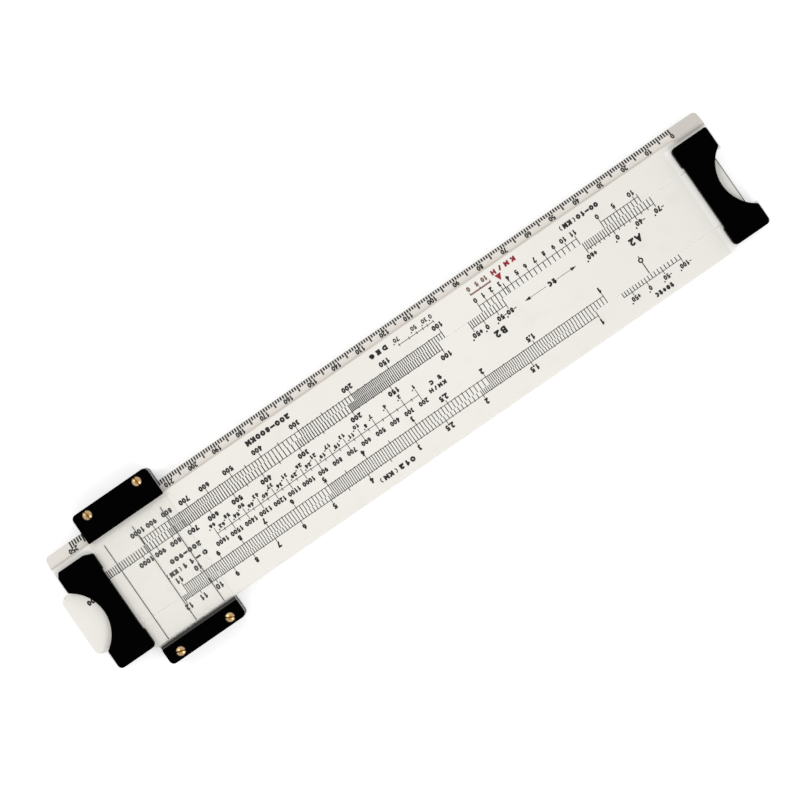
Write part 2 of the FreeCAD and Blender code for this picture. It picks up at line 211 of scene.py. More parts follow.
def bevelPattern(tree, x, y, z, face):  # colours of the bevel laid over the face's own colour
    look = whitePlastic
    along = subtract(tree, x, zeroX + look["bowMiddle"] * mm)
    rise = multiply(tree, calculate(tree, "POWER", along, 2), look["bow"] / look["bowReach"] ** 2 / mm)
    leftEnd = remap(tree, x, *places(look["leftEnd"], zeroX), 0, 1)
    rise = add(tree, rise, multiply(tree, leftEnd, look["endRise"] * mm))
    row = subtract(tree, subtract(tree, y, rise), zeroY)
    inFront = remap(tree, z, *places(look["frontHalf"], midLevel), 0, 1)
    rightEnd = remap(tree, x, *places(look["rightEnd"], zeroX), 0, look["rightEndShare"])
    shading = remap(tree, row, *places(look["bevelShading"]), 0, 1)
    colour = tint(tree, shading, look["bevelLow"], look["bevelHigh"])
    colour = tint(tree, rightEnd, colour, look["bevelEnd"])
    top, soft = look["bevelTop"] * mm, look["softEdge"] * mm
    onBevel = remap(tree, row, top + soft, top - soft, 0, 1)
    colour = tint(tree, multiply(tree, onBevel, inFront), face, colour)
    # painted shade on the bevel and its line past the ruling's left end, beside the left plate
    besidePlate = calculate(tree, "LESS_THAN", y, zeroY + look["endReach"] * mm)
    leftEnd = multiply(tree, multiply(tree, leftEnd, besidePlate), inFront)
    colour = tint(tree, leftEnd, colour, look["bevelShadedEnd"])
    topLine = band(tree, row, look["topLineY"] * mm, look["topLineWidth"] * mm, 1)
    patchy = remap(tree, grain(tree, look["topLinePerMetre"], 4), 0.3, 0.7, look["topLineLeast"], 1)
    topLine = multiply(tree, multiply(tree, topLine, patchy), inFront)
    return tint(tree, topLine, colour, tint(tree, leftEnd, look["topLine"], look["topLineShaded"]))


def plateLightShare(tree, x, y, onSlide):  # painted light: 1 close beside the end plates, against their shade, 0 further off
    look = whitePlastic
    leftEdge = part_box("front_end_plate_left")[1].x
    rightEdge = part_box("front_end_plate_right")[0].x
    width, soft = look["plateLightWidth"] * mm, look["softEdge"] * mm
    low, lowRight = zeroY + look["plateLightLow"] * mm, zeroY + look["plateLightLowRight"] * mm
    left = remap(tree, x, leftEdge + width, leftEdge + 2 * width, 1, 0)
    left = multiply(tree, left, remap(tree, y, low - soft, low + soft, 0, 1))
    if onSlide:
        return left
    right = remap(tree, x, rightEdge - 0.5 * width, rightEdge + 0.5 * width, 0, 1)
    right = multiply(tree, right, remap(tree, y, lowRight - soft, lowRight + soft, 0, 1))
    return calculate(tree, "MAXIMUM", left, right)


def makeWhitePlastic(name, shadedSoiledEnd=None):  # the X of the slide's end under the left plate, which gets painted shade and some grime
    look = whitePlastic
    material, tree, shader = newMaterial(name)
    x, y, z = splitPlace(tree)
    clouds = remap(tree, grain(tree, look["cloudsPerMetre"], 3), 0.35, 0.75, 0, look["agedShare"])
    colour = tint(tree, clouds, look["clean"], look["aged"])
    # painted shade, darker towards the left end of the face
    leftShade = remap(tree, x, zeroX, zeroX + look["leftShadeReach"] * mm, 1, 0)
    colour = tint(tree, leftShade, colour, look["wearAndShade"])
    if shadedSoiledEnd is None:
        colour = bevelPattern(tree, x, y, z, colour)
    # painted light along both seams
    lowerSeam = band(tree, y, lowerRailHigh.y, look["seamWidth"] * mm, 1)
    upperSeam = band(tree, y, upperRailLow.y, look["seamWidth"] * mm, 1)
    colour = tint(tree, calculate(tree, "MAXIMUM", lowerSeam, upperSeam), colour, look["seamLight"])
    # painted light close beside the end plates
    colour = tint(tree, plateLightShare(tree, x, y, shadedSoiledEnd is not None), colour, look["plateLight"])
    smudges = remap(tree, grain(tree, look["smudgesPerMetre"], 5), 0.55, 0.8, 0, look["grimeShare"])
    colour = tint(tree, smudges, colour, look["grime"])
    if shadedSoiledEnd is not None:
        # painted shade on the sunk end: a darker colour, a little grime and a dark line along the very
        # end
        reach, rimWidth = look["sunkEndReach"] * mm, look["rimWidth"] * mm
        sunk = remap(tree, x, shadedSoiledEnd + reach, shadedSoiledEnd + 2 * reach, 1, 0)
        colour = tint(tree, sunk, colour, look["wearAndShade"])
        soilAndShade = remap(tree, x, shadedSoiledEnd, shadedSoiledEnd + reach, look["soilAndShadeShare"], 0)
        rim = remap(tree, x, shadedSoiledEnd + 0.5 * rimWidth, shadedSoiledEnd + rimWidth, 1, 0)
        colour = tint(tree, rim, tint(tree, soilAndShade, colour, look["soilAndShade"]), look["rim"])
    feed(tree, shader.inputs["Base Color"], colour)
    scratches = grain(tree, look["scratchesPerMetre"], 6, stretch=(1, 40, 1))
    roughen(tree, shader, scratches, look, 0.75)
    shader.inputs["IOR"].default_value = look["ior"]
    height = add(tree, scratches, grain(tree, look["pitsPerMetre"], 2))
    relief(tree, shader, height, look["reliefDepth"] * mm, look["reliefStrength"])
    return material


blackPlastic = {
    "deep": (0.0001, 0.0001, 0.0001, 1),
    # worn patches, at random
    "wearAndShade": (0.0005, 0.0005, 0.0005, 1),
    "wornShare": 0.6,
    "patchesPerMetre": 120,
    "roughness": (0.38, 0.55),
    "hazePerMetre": 300,
    "specular": 0.15,
    "specularTint": (0.035, 0.035, 0.037, 1),
    "pitsPerMetre": 5200,
    "reliefDepth": 0.02,
    "reliefStrength": 0.2,
}


def makeBlackPlastic():
    look = blackPlastic
    material, tree, shader = newMaterial("blackPlastic")
    patches = remap(tree, grain(tree, look["patchesPerMetre"], 4), 0.45, 0.8, 0, look["wornShare"])
    feed(tree, shader.inputs["Base Color"], tint(tree, patches, look["deep"], look["wearAndShade"]))
    roughen(tree, shader, grain(tree, look["hazePerMetre"], 5), look)
    shader.inputs["Specular IOR Level"].default_value = look["specular"]
    shader.inputs["Specular Tint"].default_value = look["specularTint"]
    height = grain(tree, look["pitsPerMetre"], 3)
    relief(tree, shader, height, look["reliefDepth"] * mm, look["reliefStrength"])
    return material


brass = {
    "middle": (0.44, 0.235, 0.05, 1),
    "highlight": (0.54, 0.40, 0.235, 1),  # painted highlight, paler towards the edge
    "tarnished": (0.27, 0.14, 0.04, 1),
    "tarnishedShare": 0.7,
    "tarnishPerMetre": 900,
    # painted shade on the slot's floor
    "slotFloor": (0.17, 0.078, 0.018, 1),
    "rim": (0.07, 0.045, 0.022, 1),  # painted shade round the edge of a head
    "highlightRadius": (0.35, 1.15),
    "rimRadius": (1.4, 1.65),
    "slotDepth": (5.2, 5.0),  # distances from the mid level, below the head's face
    "shadeShare": 0.9,
    "crown": 135,  # how fast the turned face falls away from the axis, per metre
    "ringHeight": 0.0012,
    "ringsPerMetre": 4200,
    "roughness": (0.2, 0.34),
    "hazePerMetre": 2400,
    "cursorHead": 3.4,  # diameters
    "plateHead": 3.6,
}


def makeBrass(name, centre, spacingX, spacingY):  # four screws about a centre, turned on their own axes
    look = brass
    material, tree, shader = newMaterial(name)
    x, y, z = splitPlace(tree, shift=(-centre.x, -centre.y, -midLevel))
    fromAxisX = subtract(tree, calculate(tree, "ABSOLUTE", x), spacingX / 2)
    fromAxisY = subtract(tree, calculate(tree, "ABSOLUTE", y), spacingY / 2)
    squares = add(tree, multiply(tree, fromAxisX, fromAxisX), multiply(tree, fromAxisY, fromAxisY))
    radius = calculate(tree, "SQRT", squares)
    tarnish = remap(tree, grain(tree, look["tarnishPerMetre"], 4), 0.45, 0.75, 0, look["tarnishedShare"])
    # painted highlight towards the edge of each head
    highlightShare = remap(tree, radius, *places(look["highlightRadius"]), 0, 1)
    colour = tint(tree, highlightShare, look["middle"], look["highlight"])
    colour = tint(tree, tarnish, colour, look["tarnished"])
    # painted shade round the edge of each head and in its slot
    edgeShade = remap(tree, radius, *places(look["rimRadius"]), 0, look["shadeShare"])
    colour = tint(tree, edgeShade, colour, look["rim"])
    level = calculate(tree, "ABSOLUTE", z)
    inSlot = remap(tree, level, *places(look["slotDepth"]), 0, look["shadeShare"])
    feed(tree, shader.inputs["Base Color"], tint(tree, inSlot, colour, look["slotFloor"]))
    shader.inputs["Metallic"].default_value = 1.0
    roughen(tree, shader, grain(tree, look["hazePerMetre"], 3), look)
    rings = calculate(tree, "SINE", multiply(tree, radius, look["ringsPerMetre"] * 2 * math.pi))
    crown = multiply(tree, squares, -look["crown"])
    height = add(tree, crown, multiply(tree, rings, look["ringHeight"] * mm))
    relief(tree, shader, height, 1.0, 1.0)
    return material


springBronze = {
    "dark": (0.36, 0.27, 0.17, 1),
    "light": (0.50, 0.39, 0.26, 1),
    "roughness": (0.28, 0.42),
    "streaksPerMetre": 150,
}


def makeSpringBronze():
    look = springBronze
    material, tree, shader = newMaterial("springBronze")
    streaks = grain(tree, look["streaksPerMetre"], 4, stretch=(1, 30, 30))
    feed(tree, shader.inputs["Base Color"], tint(tree, streaks, look["dark"], look["light"]))
    shader.inputs["Metallic"].default_value = 1.0
    roughen(tree, shader, streaks, look)
    return material


clearPlastic = {
    "tint": (0.982, 0.981, 0.975, 1),
    "shadowTint": (0.984, 0.984, 0.98, 1),
    "ior": 1.42,
    "rubbedRoughness": 0.06,
    "rubsPerMetre": 90,
    "edge": (0.72, 0.74, 0.70, 1),  # sawn edges, left matt
    "edgeRoughness": 0.5,
    "edgeDepth": 0.03,
    "backing": (0.030, 0.029, 0.026, 1),  # where the window lies on a spacer
    "backingStart": 23.27,
    "glint": (0.13, 0.12, 0.105, 1),  # along the edge of the strip above it
    "glintPlace": 24.18,
    "glintWidth": 0.16,
}


def makeClearPlastic():
    look = clearPlastic
    material, tree, shader = newMaterial("clearPlastic")
    centre = (windowLow + windowHigh) / 2
    x, y, z = splitPlace(tree, shift=(-centre.x, -centre.y, 0))
    along, across = calculate(tree, "ABSOLUTE", x), calculate(tree, "ABSOLUTE", y)
    depth = look["edgeDepth"] * mm
    edgeX = calculate(tree, "GREATER_THAN", along, windowHigh.x - centre.x - depth)
    edgeY = calculate(tree, "GREATER_THAN", across, windowHigh.y - centre.y - depth)
    sawn = calculate(tree, "MAXIMUM", edgeX, edgeY)
    backed = calculate(tree, "GREATER_THAN", across, look["backingStart"] * mm)
    solid = calculate(tree, "MAXIMUM", sawn, backed)
    glint = band(tree, across, look["glintPlace"] * mm, look["glintWidth"] * mm, 1)
    colour = tint(tree, backed, look["tint"], tint(tree, glint, look["backing"], look["glint"]))
    feed(tree, shader.inputs["Base Color"], tint(tree, sawn, colour, look["edge"]))
    feed(tree, shader.inputs["Transmission Weight"], subtract(tree, 1.0, solid))
    shader.inputs["IOR"].default_value = look["ior"]
    rubs = grain(tree, look["rubsPerMetre"], 6, stretch=(1, 14, 1))
    rubs = remap(tree, rubs, 0.5, 0.8, 0.0, look["rubbedRoughness"])
    rough = add(tree, rubs, multiply(tree, sawn, look["edgeRoughness"]))
    feed(tree, shader.inputs["Roughness"], rough)
    letThrough = tree.nodes.new("ShaderNodeBsdfTransparent")
    letThrough.inputs["Color"].default_value = look["shadowTint"]
    rays = tree.nodes.new("ShaderNodeLightPath")
    soft = calculate(tree, "MAXIMUM", rays.outputs["Is Shadow Ray"], rays.outputs["Is Diffuse Ray"])
    choice = tree.nodes.new("ShaderNodeMixShader")
    output = tree.nodes["Material Output"]
    tree.links.new(soft, choice.inputs["Fac"])
    tree.links.new(shader.outputs["BSDF"], choice.inputs[1])
    tree.links.new(letThrough.outputs["BSDF"], choice.inputs[2])
    tree.links.new(choice.outputs["Shader"], output.inputs["Surface"])
    return material


inkLook = {
    "black": (0.012, 0.012, 0.013, 1),
    "blackFaded": (0.045, 0.043, 0.042, 1),
    "red": (0.30, 0.010, 0.022, 1),
    "redFaded": (0.42, 0.035, 0.05, 1),
    "redBleached": (0.25, 0.145, 0.13, 1),  # right of the red pointer
    "bleachedFrom": (77.5, 79.5),
    "bleachedShare": 0.9,
    "wearPerMetre": 700,
    "roughness": 0.55,
    "specular": 0.25,
}


def makeInk(name, fresh, faded, bleached=None):
    look = inkLook
    material, tree, shader = newMaterial(name)
    wear = remap(tree, grain(tree, look["wearPerMetre"], 4), 0.4, 0.75, 0, 1)
    colour = tint(tree, wear, fresh, faded)
    if bleached is not None:
        x, y, z = splitPlace(tree)
        share = remap(tree, x, *places(look["bleachedFrom"], zeroX), 0, look["bleachedShare"])
        colour = tint(tree, share, colour, bleached)
    feed(tree, shader.inputs["Base Color"], colour)
    shader.inputs["Roughness"].default_value = look["roughness"]
    shader.inputs["Specular IOR Level"].default_value = look["specular"]
    return material


def dress(material, *nodes):
    for node in nodes:
        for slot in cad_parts[node].material_slots:
            slot.material = material


def screwPattern(node, headDiameter):  # middle and spacings of four screws, from their node's box
    low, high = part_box(node)
    return (low + high) / 2, high.x - low.x - headDiameter * mm, high.y - low.y - headDiameter * mm


whiteLook = makeWhitePlastic("railPlastic")
slideLook = makeWhitePlastic("slidePlastic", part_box("slide")[0].x)
blackLook = makeBlackPlastic()
clearLook = makeClearPlastic()
blackInk = makeInk("blackInk", inkLook["black"], inkLook["blackFaded"])
redInk = makeInk("redInk", inkLook["red"], inkLook["redFaded"], inkLook["redBleached"])
dress(whiteLook, "lower_rail", "upper_rail")
dress(slideLook, "slide")
dress(blackLook, "cursor_upper_spacer", "cursor_lower_spacer")
for face in ("front", "back"):
    dress(blackLook, face + "_end_plate_left", face + "_end_plate_right")
    dress(blackLook, "cursor_upper_" + face + "_strip", "cursor_lower_" + face + "_strip")
    dress(clearLook, "cursor_" + face + "_window")
    screws = "cursor_" + face + "_screws"
    dress(makeBrass(face + "CursorBrass", *screwPattern(screws, brass["cursorHead"])), screws)
for side in ("left", "right"):
    screws = "end_plate_screws_" + side
    dress(makeBrass(side + "PlateBrass", *screwPattern(screws, brass["plateHead"])), screws)
dress(makeSpringBronze(), "cursor_spring")
print("materials made:", len(bpy.data.materials))


# Print: thin ink on the faces, drawn flat in millimetres and then laid on its face

ink = {
    "thickness": 0.03,
    "sink": 0.01,  # how far the ink reaches into the plastic
    "tick": 0.32,
    "stem": 0.24,  # from a scale's line to its number
    "line": 0.22,
    "bold": 0.36,
    "pen": 0.51,  # width of a number's strokes
    "digitWidth": 0.62,  # as a share of its height, as are the next three
    "letterGap": 0.06,
    "legendPen": 0.37,
    "legendWidth": 0.92,
    "legendFill": 0.84,  # the widest digit, as a share of the step between characters
    "lightStroke": 0.6,  # of the pen, for signs, brackets and degree rings
    "labelGap": 0.1,  # between a stem and its number
    "ringSteps": 24,
}
inkMiddle = ink["thickness"] / 2 - ink["sink"]

# The characters, each with its width in digits and its strokes by kind. A stroke's points lie in a box
# 1 wide and 1 high, along the middle of the pen. A line runs straight, an arc runs smoothly through its
# points, and a ring closes.
letters = {
    "0": (1, {"ring": [[(0.5, 0), (1, 0.3), (1, 0.7), (0.5, 1), (0, 0.7), (0, 0.3)]]}),
    "1": (1, {"line": [[(0.2, 0.74), (0.6, 1)], [(0.6, 1), (0.6, 0)]]}),
    "2": (1, {"arc": [[(0.02, 0.74), (0.25, 0.97), (0.72, 0.97), (0.95, 0.7), (0.72, 0.42), (0, 0)]],
              "line": [[(0, 0), (1, 0)]]}),
    "3": (1, {"arc": [[(0.05, 0.84), (0.5, 1), (0.92, 0.77), (0.4, 0.54)],
                      [(0.4, 0.54), (0.98, 0.3), (0.55, 0), (0, 0.14)]]}),
    "4": (1, {"line": [[(0.72, 0), (0.72, 1)], [(0.72, 1), (0, 0.27)], [(0, 0.27), (1, 0.27)]]}),
    "5": (1, {"line": [[(0.9, 1), (0.1, 1)], [(0.1, 1), (0.04, 0.56)]],
              "arc": [[(0.04, 0.56), (0.55, 0.64), (0.98, 0.33), (0.55, 0), (0, 0.13)]]}),
    "6": (1, {"arc": [[(0.86, 0.95), (0.35, 0.86), (0, 0.35), (0.5, 0), (1, 0.3),
                       (0.55, 0.6), (0.06, 0.42)]]}),
    "7": (1, {"line": [[(0, 1), (1, 1)], [(1, 1), (0.35, 0)]]}),
    "8": (1, {"ring": [[(0.5, 0.53), (0.9, 0.77), (0.5, 1), (0.1, 0.77)],
                       [(0.5, 0.53), (0.98, 0.26), (0.5, 0), (0.02, 0.26)]]}),
    "9": (1, {"arc": [[(0.14, 0.05), (0.65, 0.14), (1, 0.65), (0.5, 1), (0, 0.7),
                       (0.45, 0.4), (0.94, 0.58)]]}),
    ".": (0.3, {"line": [[(0.5, 0), (0.5, 0.02)]]}),
    "°": (0.5, {"ring": [[(0.5, 1.08), (1, 1.2), (0.5, 1.32), (0, 1.2)]]}),
    "−": (0.85, {"line": [[(0, 0.5), (1, 0.5)]]}),
    "+": (0.85, {"line": [[(0, 0.5), (1, 0.5)], [(0.5, 0.2), (0.5, 0.8)]]}),
    "/": (0.7, {"line": [[(0, 0), (1, 1)]]}),
    "(": (0.5, {"arc": [[(1, 1.08), (0, 0.75), (0, 0.25), (1, -0.08)]]}),
    ")": (0.5, {"arc": [[(0, 1.08), (1, 0.75), (1, 0.25), (0, -0.08)]]}),
    "A": (1.2, {"line": [[(0, 0), (0.5, 1)], [(0.5, 1), (1, 0)], [(0.2, 0.32), (0.8, 0.32)]]}),
    "B": (1.1, {"line": [[(0, 0), (0, 1)]],
                "arc": [[(0, 1), (0.6, 0.98), (0.85, 0.76), (0.55, 0.54), (0, 0.53)],
                        [(0.5, 0.53), (1, 0.28), (0.6, 0.01), (0, 0)]]}),
    "C": (1.1, {"arc": [[(1, 0.8), (0.55, 1), (0, 0.5), (0.55, 0), (1, 0.2)]]}),
    "D": (1.1, {"line": [[(0, 0), (0, 1)]],
                "arc": [[(0, 1), (0.6, 0.95), (1, 0.5), (0.6, 0.05), (0, 0)]]}),
    "E": (1, {"line": [[(0, 0), (0, 1)], [(0, 1), (0.95, 1)], [(0, 0.52), (0.8, 0.52)],
                       [(0, 0), (0.95, 0)]]}),
    "G": (1.1, {"arc": [[(1, 0.8), (0.55, 1), (0, 0.5), (0.55, 0), (1, 0.2)]],
                "line": [[(1, 0.2), (1, 0.46)], [(1, 0.46), (0.6, 0.46)]]}),
    "H": (1.1, {"line": [[(0, 0), (0, 1)], [(1, 0), (1, 1)], [(0, 0.5), (1, 0.5)]]}),
    "K": (1, {"line": [[(0, 0), (0, 1)], [(1, 1), (0, 0.4)], [(0.35, 0.6), (1, 0)]]}),
    "M": (1.12, {"line": [[(0, 0), (0, 1)], [(0, 1), (0.5, 0.35)], [(0.5, 0.35), (1, 1)],
                          [(1, 1), (1, 0)]]}),
    "t": (0.9, {"line": [[(0.4, 0), (0.4, 1)], [(0, 0.7), (1, 0.7)], [(0.4, 0), (0.9, 0)]]}),
    "–": (1.1, {"line": [[(0, 0.5), (1, 0.5)]]}),
}
shapes = {}


def addStroke(curve, kind, points, reach):  # reach lengthens a line at both ends
    if kind == "line":
        along = (points[1] - points[0]).normalized() * reach
        points = [points[0] - along, points[1] + along]
    spline = curve.splines.new("POLY" if kind == "line" else "BEZIER")
    knots = spline.points if kind == "line" else spline.bezier_points
    knots.add(len(points) - 1)
    for knot, point in zip(knots, points):
        if kind == "line":
            knot.co = (*point, 0, 1)
        else:
            knot.co = (*point, 0)
            knot.handle_left_type = knot.handle_right_type = "AUTO"
    spline.use_cyclic_u = kind == "ring"


def letterShape(character, pen, digitWidth):  # closed mesh of a character 1 high
    key = (character, pen, digitWidth)
    if key not in shapes:
        width, kinds = letters[character]
        size = Vector((width * digitWidth - pen, 1 - pen))
        curve = bpy.data.curves.new("letter", "CURVE")
        curve.dimensions = "3D"
        curve.twist_mode = "Z_UP"
        curve.resolution_u = 2
        curve.bevel_depth = pen / 2
        curve.bevel_resolution = 0
        curve.use_fill_caps = True
        for kind, strokes in kinds.items():
            for points in strokes:
                placed = [Vector((x * size.x + pen / 2, y * size.y + pen / 2)) for x, y in points]
                addStroke(curve, kind, placed, pen / 2)
        holder = bpy.data.objects.new("letter", curve)
        mesh = bpy.data.meshes.new_from_object(holder)
        shape = bmesh.new()
        shape.from_mesh(mesh)
        bmesh.ops.remove_doubles(shape, verts=shape.verts, dist=1e-5)
        shape.to_mesh(mesh)
        shape.free()
        bpy.data.objects.remove(holder)
        bpy.data.curves.remove(curve)
        shapes[key] = mesh
    return shapes[key]


# The number stands over its place, and a sign or degree ring hangs outside.
def addLabel(sheet, text, x, y, height, pen=None, digitWidth=None, gap=None):
    pen = pen or ink["pen"]
    digitWidth = digitWidth or ink["digitWidth"]
    gap = (gap or ink["letterGap"]) * height
    number = text.strip("+−°") or text
    first = text.index(number)
    widths = [digitWidth * height * letters[character][0] for character in text]
    left = x - (sum(widths[first:first + len(number)]) + gap * (len(number) - 1)) / 2
    left -= sum(widths[:first]) + gap * first
    for character, width in zip(text, widths):
        stroke = pen * (ink["lightStroke"] if character in "−°()" else 1)
        start = len(sheet.verts)
        sheet.from_mesh(letterShape(character, round(stroke / height, 3), digitWidth))
        sheet.verts.ensure_lookup_table()
        place = Matrix.Translation((left, y - height / 2, inkMiddle))
        size = Matrix.Diagonal((height, height, ink["thickness"] / stroke * height, 1))
        bmesh.ops.transform(sheet, matrix=place @ size, verts=sheet.verts[start:])
        left += width + gap


def addLegend(sheet, text, first, last, y, height):  # characters evenly spaced from first to last
    step = (last - first) / (len(text) - 1)
    width = min(ink["legendWidth"], ink["legendFill"] * step / height)
    for index, character in enumerate(text):
        addLabel(sheet, character, first + index * step, y, height, ink["legendPen"] * height, width)


def addBar(sheet, x0, x1, y0, y1):
    middle = Matrix.Translation(((x0 + x1) / 2, (y0 + y1) / 2, inkMiddle))
    size = Matrix.Diagonal((abs(x1 - x0), abs(y1 - y0), ink["thickness"], 1))
    bmesh.ops.create_cube(sheet, size=1, matrix=middle @ size)


def addTick(sheet, x, y0, y1, width=None):
    half = (width or ink["tick"]) / 2
    addBar(sheet, x - half, x + half, y0, y1)


def addLine(sheet, y, x0, x1, width=None):
    half = (width or ink["line"]) / 2
    addBar(sheet, x0 - ink["tick"] / 2, x1 + ink["tick"] / 2, y - half, y + half)


# An arrow head that points along +X, turned by an angle.
def addWedge(sheet, x, y, length, width, turn=0.0):
    start = len(sheet.verts)
    bmesh.ops.create_cone(
        sheet, cap_ends=True, segments=3, radius1=1, radius2=1, depth=ink["thickness"])
    sheet.verts.ensure_lookup_table()
    wedge = sheet.verts[start:]
    ahead = Matrix.Rotation(math.atan2(wedge[0].co.y, wedge[0].co.x), 4, "Z").inverted()
    size = Matrix.Diagonal((length / 1.5, width / math.sqrt(3), 1, 1))
    place = Matrix.Translation((x, y, inkMiddle)) @ Matrix.Rotation(turn, 4, "Z")
    bmesh.ops.transform(sheet, matrix=place @ size @ ahead, verts=wedge)


def addRing(sheet, x, y, innerRadius, outerRadius):
    low = -ink["sink"]
    high = low + ink["thickness"]
    corners = [(innerRadius, low), (outerRadius, low), (outerRadius, high), (innerRadius, high)]
    rows = []
    for step in range(ink["ringSteps"]):
        turn = 2 * math.pi * step / ink["ringSteps"]
        rows.append([
            sheet.verts.new((x + radius * math.cos(turn), y + radius * math.sin(turn), level))
            for radius, level in corners])
    for row, following in zip(rows, rows[1:] + rows[:1]):
        for i in range(4):
            j = (i + 1) % 4
            sheet.faces.new((row[i], following[i], following[j], row[j]))


def logPlace(start, decade, unit=1.0, bend=0.0):  # the value called unit stands at start
    return lambda value: start + decade * math.log10(value / unit) + bend * value ** 2


def curvedPlace(zero, step, bend):
    return lambda value: zero + step * value + bend * value ** 2


def warmthPlace(start, decade, first, freezing=273):  # logarithm of the absolute temperature
    return lambda value: start + decade * math.log10((value + freezing) / (first + freezing))


def plainText(value):
    return f"{value:g}"


def degreeText(value):
    return f"{value:g}°"


def signedText(value):
    sign = "+" if value > 0 else "−" if value < 0 else ""
    return f"{sign}{abs(value):g}°"


def addScale(sheet, scale, place, text=plainText):
    line, tip, labelY, height = scale["line"], scale["tip"], scale["labelY"], scale["labelHeight"]
    width, pen, digitWidth = scale.get("tick"), scale.get("pen"), scale.get("digitWidth")
    gap = scale.get("labelGap", ink["labelGap"])
    down = 1 if labelY > line else -1  # towards the labels
    ticks = []
    for start, stop, step, marked in scale["stretches"]:
        for index in range(round((stop - start) / step)):
            value = start + index * step
            ticks.append((value, abs(value / marked - round(value / marked)) < 0.001))
    ticks.append((stop, True))
    for value, isMarked in ticks:
        spur = scale["spur"] if isMarked else 0
        addTick(sheet, place(value), line + down * spur, tip, width)
    for value in scale.get("longMarks", []):
        addTick(sheet, place(value), line, line + down * scale["longSpur"], ink["stem"])
    for value in scale["labels"]:
        addTick(sheet, place(value), line, labelY - down * (height / 2 + gap), ink["stem"])
        right, up = scale.get("shifts", {}).get(value, (0, 0))
        addLabel(sheet, text(value), place(value) + right, labelY + up, height, pen, digitWidth)
    addLine(sheet, line, place(ticks[0][0]), place(stop))


def newObject(name, sheet, material):
    mesh = bpy.data.meshes.new(name)
    sheet.to_mesh(mesh)
    sheet.free()
    mesh.materials.append(material)
    thing = bpy.data.objects.new(name, mesh)
    bpy.context.scene.collection.objects.link(thing)
    return thing


# Lays a sheet on its face and lets it ride on a body.
def finishPrint(name, sheet, face, body, material=blackInk):
    sheet.transform(face)
    piece = newObject(name, sheet, material)
    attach(piece, body)
    print(name, "printed:", len(piece.data.polygons), "faces")


toMetres = Matrix.Scale(mm, 4)
frontFace = Matrix.Translation((zeroX, zeroY, lowerRailHigh.z)) @ toMetres
turnedOver = Matrix.Rotation(math.pi, 4, "X")
backFace = Matrix.Translation((zeroX, upperRailHigh.y, lowerRailLow.z)) @ turnedOver @ toMetres


# Millimetre ruling on the bevel

ruling = {
    "length": 250,
    "bevelWidth": 4.2,
    "edgeThickness": 2.2,
    "step": 0.9972,  # from mark to mark, as the picture shows it against the stock's ends
    "middle": 114,  # the mark that stays in its place
    "start": -0.2,  # in plan, as are the next ones
    "tick": 0.95,
    "halfTick": 2.05,
    "numberedTick": 1.2,
    "numberY": 2.13,
    "numberHeight": 1.98,
    "numberPen": 0.51,
    "numberWidth": 0.49,
    "numberGap": 0.015,
    "numberShift": -0.05,
    "tickWidth": 0.56,
    "footBow": 0.3,  # how far the feet and heads of the marks follow the bow
    "headBow": 1.1,
}


def printRuling():
    look = ruling
    sheet = bmesh.new()
    rise = lowerRailHigh.z / mm - lowerRailLow.z / mm - look["edgeThickness"]
    slope = math.atan2(rise, look["bevelWidth"])
    up = 1 / math.cos(slope)
    for mark in range(look["length"] + 1):
        bow = bowRise(mark)
        kind = "numberedTick" if mark % 10 == 0 else "halfTick" if mark % 5 == 0 else "tick"
        x = look["middle"] + (mark - look["middle"]) * look["step"]
        low = (zeroRise + look["start"] - look["footBow"] * bow) * up
        high = (zeroRise + look[kind] + look["headBow"] * bow) * up
        addTick(sheet, x, low, high, look["tickWidth"])
        if mark % 10 == 0:
            numberY = (zeroRise + look["numberY"] + bow) * up
            addLabel(
                sheet, plainText(mark), x + look["numberShift"], numberY, look["numberHeight"] * up,
                look["numberPen"], look["numberWidth"], look["numberGap"])
    edge = Matrix.Translation((zeroX, lowerRailLow.y, lowerRailLow.z + look["edgeThickness"] * mm))
    face = edge @ Matrix.Rotation(slope, 4, "X") @ toMetres
    finishPrint("millimetreRuling", sheet, face, "stock")


# Lower rail: height corrections at the left, the long speed scale and the angle scale

# A stretch is the first value, the last one, the step, and the multiples that are marked longer.
# A legend is its text, the x of its first and last characters, its y and its height.
speedStretches = [(100, 200, 2, 10), (200, 300, 5, 10), (300, 800, 10, 50), (800, 1000, 20, 100)]
speedMarks = {
    "decade": 124.5, "spur": 0.35, "longMarks": [250, 350, 450], "longSpur": 0.9, "labelHeight": 2.0,
}
hundreds = [100, 150] + list(range(200, 1001, 100))
railTickTip = (lowerRailHigh.y - zeroY) / mm - 0.06
shortMarks = {"line": 12.85, "tip": railTickTip, "labelY": 10.6, "labelHeight": 1.95}
lowerRailScales = {
    "speed": {
        **speedMarks, "start": 103.58, "line": 12.95, "tip": railTickTip,
        "labelY": 10.36, "stretches": speedStretches, "labels": hundreds, "pen": 0.57,
        "digitWidth": 0.64,
    },
    "height": {
        **shortMarks, "zero": 37.33, "step": -1.263, "bend": -0.013, "spur": 0,
        "stretches": [(0, 11, 1, 5)], "labels": [0, 5, 10], "longMarks": [11], "longSpur": 1.1,
    },
    "airspeed": {
        **shortMarks, "zero": 87.85, "step": -3.184, "bend": -0.0455, "spur": 0.1,
        "stretches": [(0, 11, 0.5, 1)], "labels": list(range(12)),
    },
    "angle": {
        "line": 8.3, "end": 118.1, "labelY": 6.25, "labelHeight": 1.7, "pen": 0.4, "spur": 0.55,
        "places": {0: 103.7, 30: 106.2, 40: 108.1, 50: 110.6, 60: 113.7, 70: 117.8},
        "labels": [0, 30, 50, 70],
    },
    "gaugeMark": (76.73, 11.1),  # x, and how far down it goes
    "legends": [
        ("00–10(KM)", 35.3, 49.8, 6.9, 1.85), ("DEG", 122.6, 127.85, 6.35, 1.85),
        ("200–800KM", 163.4, 179.5, 6.65, 2.0)],
}


